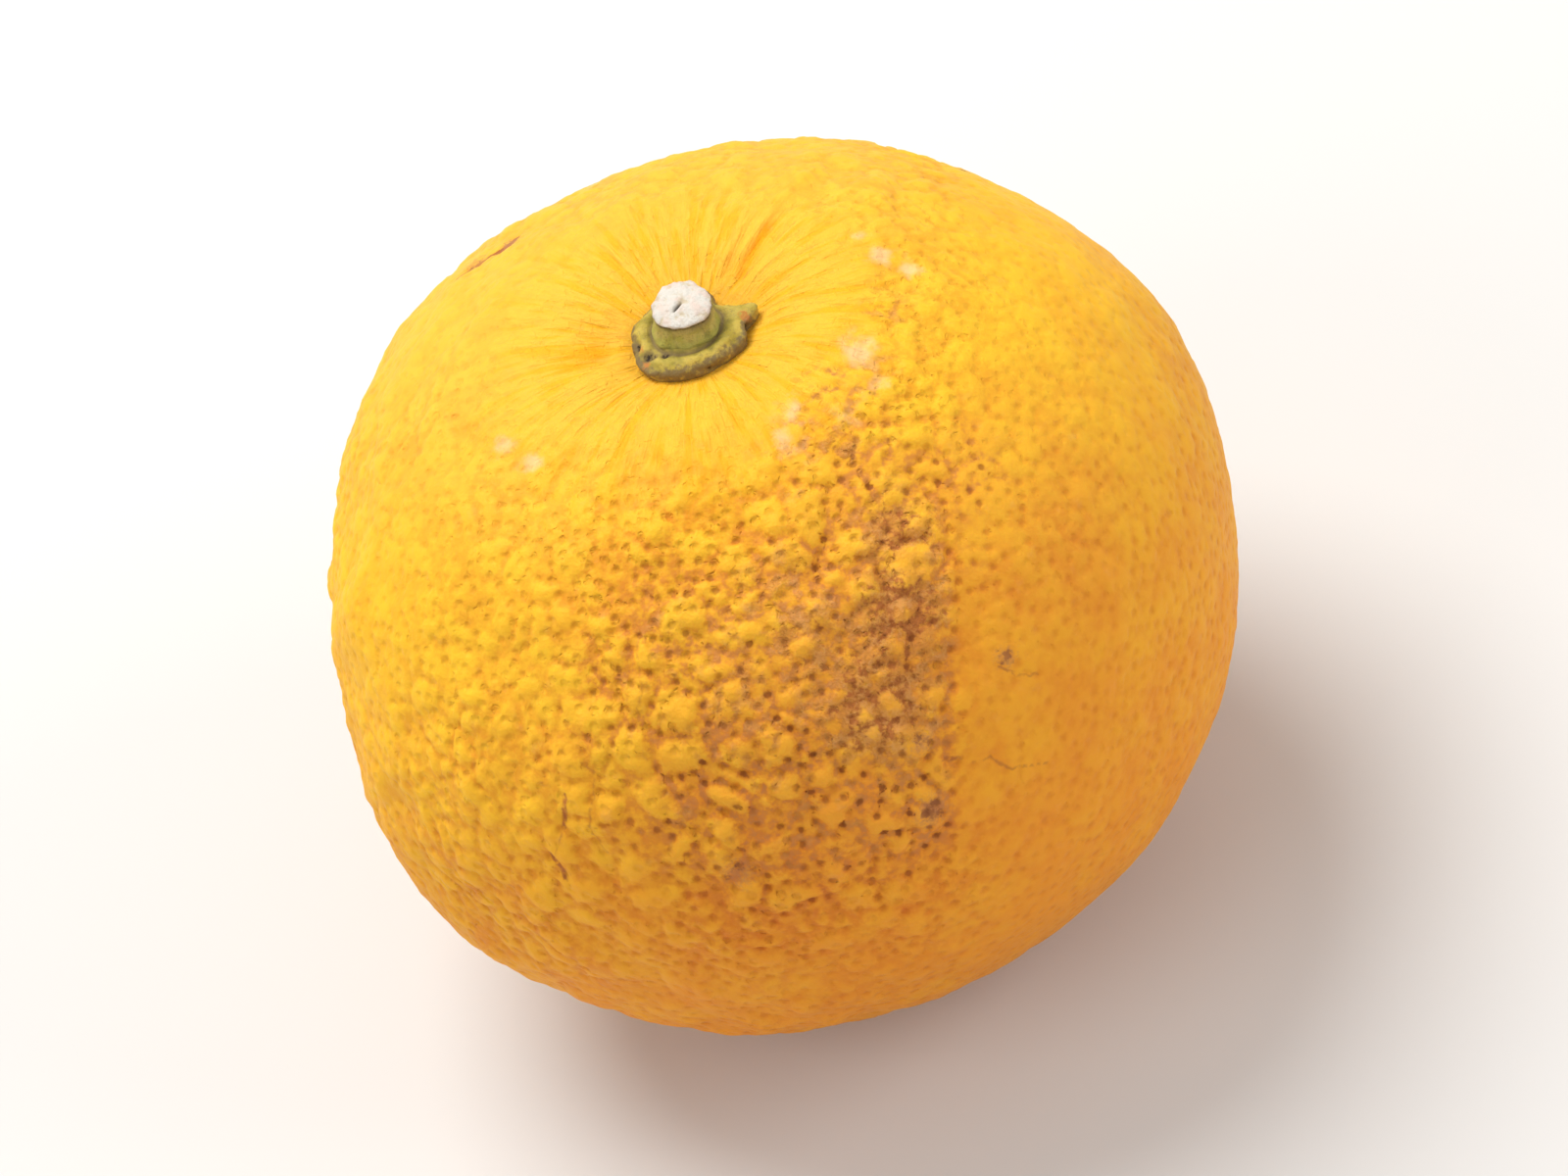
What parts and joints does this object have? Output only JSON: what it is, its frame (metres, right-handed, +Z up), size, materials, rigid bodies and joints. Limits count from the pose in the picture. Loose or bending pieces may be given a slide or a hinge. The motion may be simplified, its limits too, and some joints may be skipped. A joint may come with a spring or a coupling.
{
  "type": "yuzu fruit",
  "caption": "Whole ripe yuzu, a squat lumpy citrus with pitted peel, a shallow stem basin, a lobed calyx button and a short cut stub of stalk; it sits on a small flat spot at its blossom end.",
  "frame": {"origin": "middle of the small flat spot at the blossom end, on the surface that the fruit rests on", "axes": "+Z up along the fruit's core, from the blossom end to the stem; the calyx's longest sepal points along +X"},
  "size_m": [0.0707, 0.0701, 0.0614],
  "materials": {
    "peel": "thick waxy citrus peel, golden yellow to amber, pitted with oil glands, semi-gloss, with russet scars",
    "calyx": "dry olive-green button with grey-brown edges, matt and wrinkled",
    "stem": "green-brown bark round a dry whitish fibrous cut, matt"
  },
  "bodies": {
    "root": {"fruit": "peel", "calyx": "calyx", "stem_stub": "stem"}
  },
  "joints": []
}
